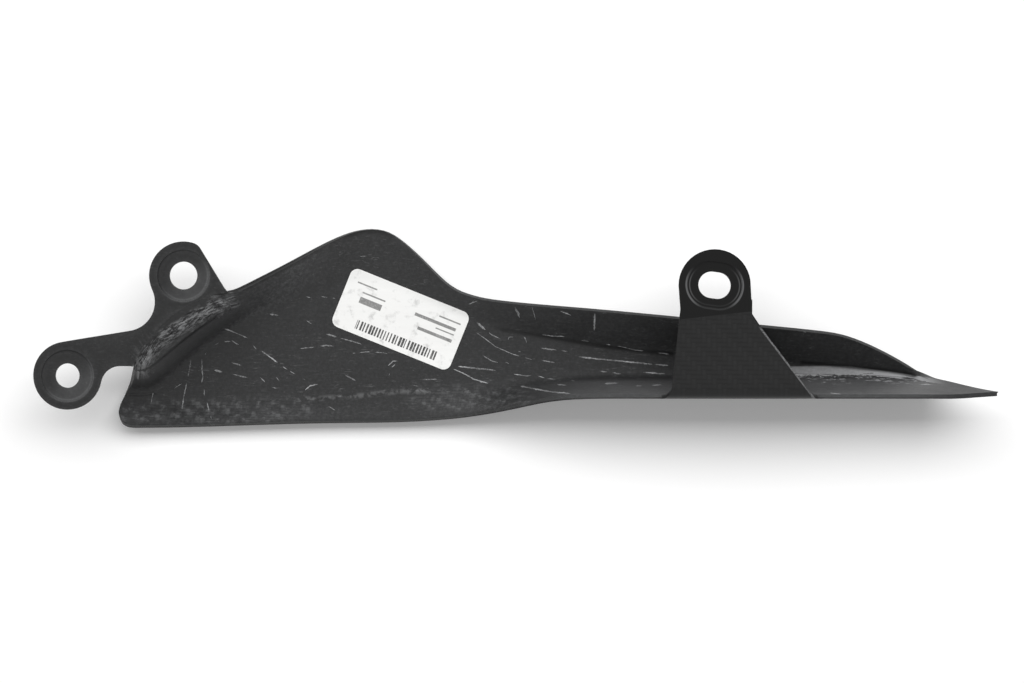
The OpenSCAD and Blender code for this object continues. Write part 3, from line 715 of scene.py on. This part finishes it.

# %% [markdown]
# ## Seats with painted highlights on their rims
# Each boss and the tab's head has a shallow sunk seat, round on the bosses and oblong on the tab,
# whose rim catches the light. The seats are in the solid. The glints on the rims are painted in the
# material as rings, which give a soft edge and need no finer mesh; they could be faces of their own.

# %% Rings round the three seats
def ring(shade, x, y, radius, width, reach=0.0, turn=0.0):
    """1 on a ring round x = y = 0; a reach draws it out to an oblong, turned by turn degrees."""
    cosine, sine = math.cos(math.radians(turn)), math.sin(math.radians(turn))
    along = shade.maths("MAXIMUM", shade.maths("ABSOLUTE", x * cosine + y * sine) - reach, 0)
    across = y * cosine - x * sine
    gap = shade.maths("ABSOLUTE", shade.maths("SQRT", along * along + across * across) - radius)
    return 1 - shade.band(gap, width * 0.3, width)


# The seats' sizes and places are those of the solid, in millimetres and degrees.
SEAT_R, TAB_SEAT_R, TAB_REACH, TAB_TURN = 10.4, 9.4, 1.9, -8
BOSSES, SLOT = [(0, 0), (46.6, 40.2)], (259.6, 36.2)
print("seats:", len(BOSSES) + 1)

# %% [markdown]
# ## The bag side's dull grain
# Under the bag the resin is dull and a little uneven: cloudy, with fine grain that runs with the
# fibres, scuffs, and thin lines where the film touched. A picture of a real surface would repeat or
# stretch, so each kind of grain is a noise of its own, stretched its own way, and adds a little
# light to a dark base. How much each adds stands as a named value, so that it is easy to tune.

# %% The laminate material and the masks that it reads
laminate = Shade("carbon_laminate", bpy.data.materials)
place, (px, py, pz) = object_place(laminate)
mould_mask, torn_mask = laminate.attribute("mould"), laminate.attribute("torn")
print_mask, highlight_band_mask, highlight_up = [laminate.attribute(name) for name in ("printed", "gloss_and_highlight", "highlight_up")]
groove_shade_mask, ridge_highlight_mask = laminate.attribute("groove"), laminate.attribute("ridge")
height, over = twill(laminate, px * (1 / TOW), (py - pz) * (1 / TOW))
print("masks read:", sum(node.type == "ATTRIBUTE" for node in laminate.tree.nodes))

# %% The kinds of grain
# A noise is given its scale per millimetre, its detail and its roughness. A stretched place is
# scaled along X, Y and Z and turned about Z. A band keeps only a noise's higher parts.
fine = laminate.noise(place, 2.2, 4, 0.6)
cloudy = laminate.noise(place, 0.09, 4, 0.6)
fibres = laminate.noise(stretched(laminate, place, (0.25, 3.2, 1), 0.25), 1.0, 4, 0.65)
cross = laminate.noise(stretched(laminate, place, (2.4, 0.3, 1), 0.15), 1.0, 4, 0.65)
scuffs = laminate.noise(stretched(laminate, place, (0.35, 1.6, 1), -0.2), 0.8, 5, 0.7)
scuffs = laminate.band(scuffs, 0.56, 0.74)
patches = laminate.band(laminate.noise(place, 0.33, 3, 0.6), 0.42, 0.62)
mottle = laminate.band(laminate.noise(place, 0.75, 5, 0.72), 0.38, 0.7)
# A hairline lies where a slow noise passes through its middle value.
hair = laminate.noise(stretched(laminate, place, (0.05, 0.42, 0.4), 0.28), 1.0, 3, 0.6)
hair = 1 - laminate.band(laminate.maths("ABSOLUTE", hair - 0.5), 0.002, 0.011)
hair_zone = laminate.band(laminate.noise(place, 0.16, 4, 0.65), 0.5, 0.64)
print("noises:", sum(node.type == "TEX_NOISE" for node in laminate.tree.nodes))

# %% How light the bag side is
CLOUD, FIBRE, CROSS, SCUFF, MOTTLE, HAIR = 0.014, 0.01, 0.007, 0.024, 0.013, 0.045
WEAVE, WEB_LIT_BASE, WEB_LIT_FIBRE, SLOPE_LIGHT_BASE, SLOPE_LIGHT_MOTTLE = 0.08, 0.01, 0.05, 0.022, 0.032
bag_level = cloudy * CLOUD + fibres * FIBRE + cross * CROSS + scuffs * SCUFF + mottle * MOTTLE
bag_level = bag_level + hair * hair_zone * HAIR
bag_level = bag_level + print_mask * (patches * 0.6 + 0.1) * (over * 0.6 + height * 0.4) * WEAVE
# The web faces the lamp, and it is made paler by painted light, streaked along the fibres.
bag_level = bag_level + laminate.attribute("web") * (WEB_LIT_BASE + fibres * WEB_LIT_FIBRE)
# Painted light on the slopes where they lean away from the lamp, with a mottle in it.
bag_level = bag_level + laminate.attribute("painted_slope_light") * (SLOPE_LIGHT_BASE + mottle * SLOPE_LIGHT_MOTTLE)
print("grain of the bag side ready")

# %% The torn band's streaks
# The noise is stretched along the band. Its streaks get a painted highlight on the band's crest, where
# it leans toward the lamp.
TORN_ALONG, TORN_ACROSS, TORN_FINE = 0.33, 1.3, 0.8
CREST_LEFT, CREST_HALF = 0.6, (0.3, 3.4)
TORN_BASE, CREST_HIGHLIGHT, TORN_DARK = 0.06, 0.095, 0.014
torn_place = laminate.node("CombineXYZ", None, {
    0: laminate.attribute("torn_run") * TORN_ALONG,
    1: laminate.attribute("torn_left") * TORN_ACROSS, 2: fine * TORN_FINE})
torn_light = laminate.band(laminate.noise(torn_place, 1, 6, 0.72), 0.44, 0.6)
crest_gap = laminate.maths("ABSOLUTE", laminate.attribute("torn_left") - CREST_LEFT)
crest_highlight = 1 - laminate.band(crest_gap, *CREST_HALF)
bag_level = bag_level + torn_mask * (torn_light * (TORN_BASE + crest_highlight * CREST_HIGHLIGHT) - TORN_DARK)
print("streaks along the torn band ready")

# %% The mounting plate, its seats' worn faces and the painted highlights on their rims
# The plate is darker than the panel. Each seat's rim gets a painted highlight toward its lower
# right, where its wall faces the light, and its face is a little worn on that side.
PLATE_Z, PLATE_END_X, PLATE_DARK = (-4, -1), (62, 70), 0.45
LOWER_RIGHT_X, LOWER_RIGHT_Y, LOWER_RIGHT_FADE, RIM_HIGHLIGHT, SEAT_WEAR = 0.6, 0.8, (-3, 7), 0.09, 0.05
RIM_IN, RIM_WIDE, SEAT_FADE = 0.3, 1, 1.2
on_plate = laminate.band(pz, *PLATE_Z) * (1 - laminate.band(px, *PLATE_END_X)) * (1 - torn_mask)
bag_level = bag_level * (1 - on_plate * PLATE_DARK)
for middle in BOSSES:
    x, y = px - middle[0], py - middle[1]
    lower_right_side = laminate.band(x * LOWER_RIGHT_X - y * LOWER_RIGHT_Y, *LOWER_RIGHT_FADE)
    rim_highlight = ring(laminate, x, y, SEAT_R - RIM_IN, RIM_WIDE) * lower_right_side
    bag_level = bag_level + rim_highlight * (fine * RIM_HIGHLIGHT)
    off_axis = laminate.maths("SQRT", x * x + y * y)
    in_seat = 1 - laminate.band(off_axis, SEAT_R - SEAT_FADE, SEAT_R)
    bag_level = bag_level + in_seat * on_plate * (lower_right_side * cloudy * SEAT_WEAR)
print("worn seats on the plate:", len(BOSSES))

# %% The glossy bend with its painted highlight, and the flakes below it
# The mask highlight_up goes from 0 at the bend's lower edge to 1 at its upper edge, and is below 0 under
# it.
HIGHLIGHT_BASE, HIGHLIGHT_FIBRE, HIGHLIGHT_RIGHT, HIGHLIGHT_MOTTLE, FLAKE, FLAKE_MOTTLE = 0.12, 0.1, 0.13, 0.03, 0.38, 0.03
HIGHLIGHT_RIGHT_X, RIDGE_HIGHLIGHT, GROOVE_SHADE = (300, 342), 0.06, 0.8
flecks = laminate.noise(stretched(laminate, place, (0.2, 0.75, 0.5), 0.08), 1.0, 5, 0.7)
jagged = laminate.noise(stretched(laminate, place, (0.55, 1.3, 1)), 1.0, 5, 0.7)
in_glossy_highlight = laminate.band(highlight_up + jagged * 0.9, 0.43, 0.5)
in_glossy_highlight = in_glossy_highlight * (1 - laminate.band(highlight_up, 0.85, 1.05)) * highlight_band_mask
under_highlight = laminate.band(highlight_up, -1.1, -0.5) * (1 - laminate.band(highlight_up, -0.1, 0)) * highlight_band_mask
highlight_right = laminate.band(px, *HIGHLIGHT_RIGHT_X)
painted_highlight = HIGHLIGHT_BASE + fibres * HIGHLIGHT_FIBRE + highlight_right * HIGHLIGHT_RIGHT + mottle * HIGHLIGHT_MOTTLE
# A painted highlight in the bend's colour, paler toward the right; the resin there is also glossier.
bag_level = bag_level + in_glossy_highlight * painted_highlight
bag_level = bag_level + under_highlight * (laminate.band(flecks, 0.57, 0.61) * FLAKE + mottle * FLAKE_MOTTLE)
# A painted highlight along the low ridge, and painted shade in the grooves.
bag_level = (bag_level + ridge_highlight_mask * RIDGE_HIGHLIGHT * patches) * (1 - groove_shade_mask * GROOVE_SHADE)
print("wet-looking bend ready")

# %% [markdown]
# ## Two sides, two finishes
# The mould side is nearly black under a satin coat, and the tab's head is the blackest. The bag
# side is paler and duller. Two materials on the faces would part them at a hard line of triangles,
# so one material holds the finishes and mixes them by a mask. In white surroundings the gloss of a
# black surface is most of what is seen, and so each finish has an index of refraction of its own.

# %% The tab's head and the cut edge beside it
# The head lies beyond a slanting line in plan, and high up: the line's slope, the Y at which it
# crosses X = 0, and the height, the last two as pairs between which the mask rises.
HEAD_SLOPE, HEAD_Y_AT_0, HEAD_RISE = 0.113, (-5.27, -5.17), (5, 5.5)
# The tab's trimmed edge gets a painted highlight along the line where X and Y, times these two
# shares, add up to this distance.
CUT_SHARE_X, CUT_SHARE_Y, CUT_DISTANCE = 0.7985, 0.602, 233.4
CUT_HALF, CUT_LOW_Z, CUT_END_Y = (0.25, 0.6), (6.5, 7), (18, 20)
# The tab's seat has an outer rim and a fainter inner one. Both get a painted glint at their left and
# right, and on the side away from the light.
INNER_RIM, INNER_SHARE, GLINT_Y, ASIDE_X, ASIDE_LEAST = 1.3, 0.5, (-8, -1), (5, 10), 0.2
on_head = laminate.band(pz, *HEAD_RISE) * laminate.band(py - px * HEAD_SLOPE, *HEAD_Y_AT_0)
slot_x, slot_y = px - SLOT[0], py - SLOT[1]
rims = ring(laminate, slot_x, slot_y, TAB_SEAT_R, 0.6, TAB_REACH, TAB_TURN)
inner_rim = ring(laminate, slot_x, slot_y, TAB_SEAT_R - INNER_RIM, 0.4, TAB_REACH, TAB_TURN)
rims = rims + inner_rim * INNER_SHARE
aside = laminate.band(laminate.maths("ABSOLUTE", slot_x), *ASIDE_X) * (1 - ASIDE_LEAST) + ASIDE_LEAST
glint = rims * laminate.band(slot_y * -1, *GLINT_Y) * aside
cut_gap = laminate.maths("ABSOLUTE", px * CUT_SHARE_X + py * CUT_SHARE_Y - CUT_DISTANCE)
cut_highlight = (1 - laminate.band(cut_gap, *CUT_HALF)) * laminate.band(fine, 0.3, 0.6)
cut_highlight = cut_highlight * laminate.band(pz, *CUT_LOW_Z) * (1 - laminate.band(py, *CUT_END_Y))
print("nodes so far:", len(laminate.tree.nodes))

# %% The finishes, mixed by their masks
BAG_IOR, MOULD_IOR, HEAD_IOR, GRAIN_DEEP = 1.42, 1.36, 1.32, 0.05 * MM
MOULD_BASE, TOW_TONE, TOW_HEIGHT, MOULD_CLOUD, CUT_HIGHLIGHT = 0.001, 0.0018, 0.0045, 0.002, 0.14
HEAD_BASE, GLINT = 0.0006, 0.1
crumbs = laminate.noise(place, 1.1, 6, 0.75)
bag_relief = fibres * 0.6 + fine * 0.7 + cross * 0.3 + crumbs * torn_mask * 5 + height * print_mask * 2
bag_bump = laminate.bump(bag_relief, 0.5, GRAIN_DEEP)
bag_finish = laminate.node("BsdfPrincipled", None, {
    "Base Color": tinted(laminate, bag_level), "Normal": bag_bump, "IOR": BAG_IOR,
    "Roughness": 0.43 + cloudy * 0.2 + mottle * 0.1 - scuffs * 0.1 - in_glossy_highlight * 0.14})
mould_level = MOULD_BASE + over * TOW_TONE + height * TOW_HEIGHT + cloudy * MOULD_CLOUD
mould_level = mould_level + cut_highlight * CUT_HIGHLIGHT
mould_bump = laminate.bump(height * 0.3 + fine * 0.1, 0.4, GRAIN_DEEP)
mould_finish = laminate.node("BsdfPrincipled", None, {
    "Base Color": tinted(laminate, mould_level), "Normal": mould_bump, "IOR": MOULD_IOR,
    "Roughness": 0.42 + fine * 0.08})
head_finish = laminate.node("BsdfPrincipled", None, {
    "Base Color": tinted(laminate, HEAD_BASE + glint * GLINT), "Normal": mould_bump, "IOR": HEAD_IOR,
    "Roughness": 0.4 + fine * 0.1})
upper_finish = laminate.node("MixShader", None, {0: on_head, 1: mould_finish, 2: head_finish})
laminate.surface(laminate.node("MixShader", None, {0: mould_mask, 1: bag_finish, 2: upper_finish}))
shell.data.materials.append(laminate.owner)
print("laminate nodes:", len(laminate.tree.nodes))

# %% [markdown]
# ## The resin in the folds
# A ridge of resin holds no fibres and catches the light. Its colour is much paler than the skin:
# the resin's own tone and a painted highlight. It could share the skin's material by one more mask,
# but the ridges are a mesh of their own already, so a small material of their own is simpler. Slow
# noise gives some ridges more of the painted glint than others.

# %% Resin that set in the film's folds
RESIN_BASE, RESIN_GRAIN, RESIN_GLINT = 0.05, 0.14, 0.22
resin = Shade("film_resin", bpy.data.materials)
place, _ = object_place(resin)
grain = resin.noise(place, 1.6, 4, 0.6)
glint_share = resin.band(resin.noise(place, 0.12, 3, 0.6), 0.4, 0.68)
resin_level = RESIN_BASE + resin.band(grain, 0.38, 0.62) * RESIN_GRAIN + glint_share * RESIN_GLINT
resin.surface(resin.node("BsdfPrincipled", None, {
    "Base Color": tinted(resin, resin_level), "Roughness": 0.34 + grain * 0.2,
    "Normal": resin.bump(grain, 0.4, GRAIN_DEEP)}))
film.data.materials.append(resin.owner)
print("resin nodes:", len(resin.tree.nodes))

# %% [markdown]
# ## The label's print
# The print is generic: a row of plain bars and a few plain fields. They could be thin faces on the
# paper, but ink has no thickness, so each is a box in the label's own coordinates with a soft edge.
# The bars are cells of equal width, each filled to a share of its own that white noise gives. The
# paper has faint folds and rubbed dirt, as handled paper has.

# %% The print on the label
paper = Shade("label_paper", bpy.data.materials)
flat = paper.node("UVMap", {"uv_map": "print"})
split = paper.node("SeparateXYZ", None, {0: flat})
along = (split - 0.5) * PRINT_SPAN
across = (Value(paper, split.socket.node.outputs[1]) - 0.5) * PRINT_SPAN
# Each field's middle and size in millimetres, along the label and across it.
FIELDS = [((-13.8, 1.2), (9.5, 2.6)), ((-13.5, 4.4), (10, 0.6)), ((-17.6, 7.6), (8.5, 0.6)),
          ((13.6, 4.3), (18, 1.3)), ((18.9, 7.2), (9.4, 0.6)), ((18.6, 2.1), (8, 0.5)),
          ((15.2, -0.6), (15, 1.3))]
BAR_ROW = ((1.6, -8.6), (35.5, 3.8))
BAR_PITCH, BAR_LEAST, BAR_MORE, INK_BLUR, FIELD_INK = 1.3, 0.32, 0.5, 0.12, 0.78


def field(middle, size):
    """1 inside a box on the label, in millimetres, with a slightly soft edge."""
    def inside(value, centre, width):
        gap = paper.maths("ABSOLUTE", value - centre)
        return 1 - paper.band(gap, width / 2 - INK_BLUR, width / 2 + INK_BLUR)
    return inside(along, middle[0], size[0]) * inside(across, middle[1], size[1])


cell = paper.maths("FLOOR", along * (1 / BAR_PITCH))
in_cell = paper.maths("FRACT", along * (1 / BAR_PITCH))
chosen = paper.node("TexWhiteNoise", {"noise_dimensions": "1D"}, {"W": cell}, out="Value")
ink = paper.band(chosen * BAR_MORE + BAR_LEAST - in_cell, -0.05, 0.05) * field(*BAR_ROW)
for middle, size in FIELDS:
    ink = ink + field(middle, size) * FIELD_INK
print("label fields:", len(FIELDS))

# %% The paper under it
# Where the ink is worn, three quarters of it are left.
PAPER_WHITE, PAPER_DIRT, INK_DARK, INK_KEPT, FOLD_DEEP = 0.84, 0.3, 0.95, 0.75, 0.15 * MM
place, _ = object_place(paper)
smudge = paper.band(paper.noise(place, 0.22, 5, 0.65), 0.52, 0.78)
worn = paper.band(paper.noise(place, 1.3, 4, 0.7), 0.3, 0.55)
ink_left = 1 - ink * INK_DARK * (INK_KEPT + worn * (1 - INK_KEPT))
paper_level = (PAPER_WHITE - smudge * PAPER_DIRT) * ink_left
paper_tint = paper.node("CombineColor", None, {0: paper_level, 1: paper_level, 2: paper_level * 0.985})
folds = paper.noise(stretched(paper, place, (0.06, 0.5, 0.5), 0.39), 1, 3, 0.5)
paper.surface(paper.node("BsdfPrincipled", None, {
    "Base Color": paper_tint, "Roughness": 0.5 + smudge * 0.15,
    "Normal": paper.bump(folds, 0.5, FOLD_DEEP)}))
label.data.materials.append(paper.owner)
print("paper nodes:", len(paper.tree.nodes))

# %% [markdown]
# ## Floor, light and camera
# The guard lies on a white table, seen from straight above, with one soft light beyond its upper
# edge. More light could make the table white, but it would wash out the guard too. So the table
# glows a little and the sky is white for the eye and for gloss only: the guard is lit at a plain
# level and its shadow stays. The guard rests on the table at its lowest point.

# %% The white table
TABLE_HALF, TABLE_MIDDLE_X, TABLE_GAP = 6, 0.18, 0.02 * MM
TABLE_GLOW, TABLE_WHITE = 0.12, 0.9
floor_mesh = bpy.data.meshes.new("table")
work = bmesh.new()
bmesh.ops.create_grid(work, x_segments=1, y_segments=1, size=TABLE_HALF)
bmesh.ops.translate(work, verts=work.verts, vec=(TABLE_MIDDLE_X, 0, cad_box[0].z - TABLE_GAP))
work.to_mesh(floor_mesh)
work.free()
table = bpy.data.objects.new("table", floor_mesh)
bpy.context.scene.collection.objects.link(table)


def seen_rays(shade):
    """1 for what the camera or a gloss sees, 0 for what lights things."""
    camera_ray = shade.node("LightPath", out="Is Camera Ray")
    rays = camera_ray.socket.node.outputs
    gloss = Value(shade, rays["Is Glossy Ray"])
    clear = Value(shade, rays["Is Transmission Ray"])
    return shade.maths("MAXIMUM", camera_ray, shade.maths("MAXIMUM", gloss, clear))


top = Shade("table_top", bpy.data.materials)
matt = top.node("BsdfDiffuse", None, {"Color": grey(TABLE_WHITE)})
glow = top.node("Emission", None, {"Color": grey(1), "Strength": seen_rays(top) * TABLE_GLOW})
table.data.materials.append(top.surface(top.node("AddShader", None, {0: matt, 1: glow})))
print("table's height in mm:", round(floor_mesh.vertices[0].co.z / MM, 2))

# %% The sky and the soft light
SKY = 0.35
sky = Shade("studio", bpy.data.worlds)
back = sky.node("Background", None, {"Color": grey(1), "Strength": seen_rays(sky) * (1 - SKY) + SKY})
bpy.context.scene.world = sky.surface(back, "OutputWorld")

# The lamp is 2 m wide along the guard. That washes out the small shadows of the bosses, and the
# long shadow under the web stays.
LAMP_LONG, LAMP_DEEP, LAMP_POWER = 2.0, 0.72, 18.5
LOOK_AT = Vector((0.1786, 0.0137, cad_box[0].z))
LIGHT_FROM = Vector((0.0, 0.58, 1.05))
lamp = bpy.data.lights.new("softbox", "AREA")
lamp.shape, lamp.size, lamp.size_y, lamp.energy = "RECTANGLE", LAMP_LONG, LAMP_DEEP, LAMP_POWER
softbox = bpy.data.objects.new("softbox", lamp)
softbox.location = LOOK_AT + LIGHT_FROM
softbox.rotation_euler = (-LIGHT_FROM).to_track_quat("-Z", "Y").to_euler()
# The laminate mirrors the even sky but not the lamp, which would leave a bright stripe on it.
softbox.visible_glossy = False
bpy.context.scene.collection.objects.link(softbox)
print("lamp's distance in m:", round(LIGHT_FROM.length, 2))

# %% The camera, straight above
# The picture's width is given at the height of the table, in metres.
CAMERA_UP, VIEW_WIDTH, SENSOR = 1.5, 0.41984, 36
lens = bpy.data.cameras.new("camera")
lens.sensor_width = SENSOR
lens.lens = SENSOR * CAMERA_UP / VIEW_WIDTH
camera = bpy.data.objects.new("camera", lens)
camera.location = LOOK_AT + Vector((0, 0, CAMERA_UP))
bpy.context.scene.collection.objects.link(camera)
bpy.context.scene.camera = camera
bpy.context.scene.view_settings.view_transform = "Standard"
print("lens in mm:", round(lens.lens, 1))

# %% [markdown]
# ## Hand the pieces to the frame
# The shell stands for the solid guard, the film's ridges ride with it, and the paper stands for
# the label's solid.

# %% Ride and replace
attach(shell, "root")
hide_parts("guard")
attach(film, "root")
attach(label, "root")
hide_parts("label")
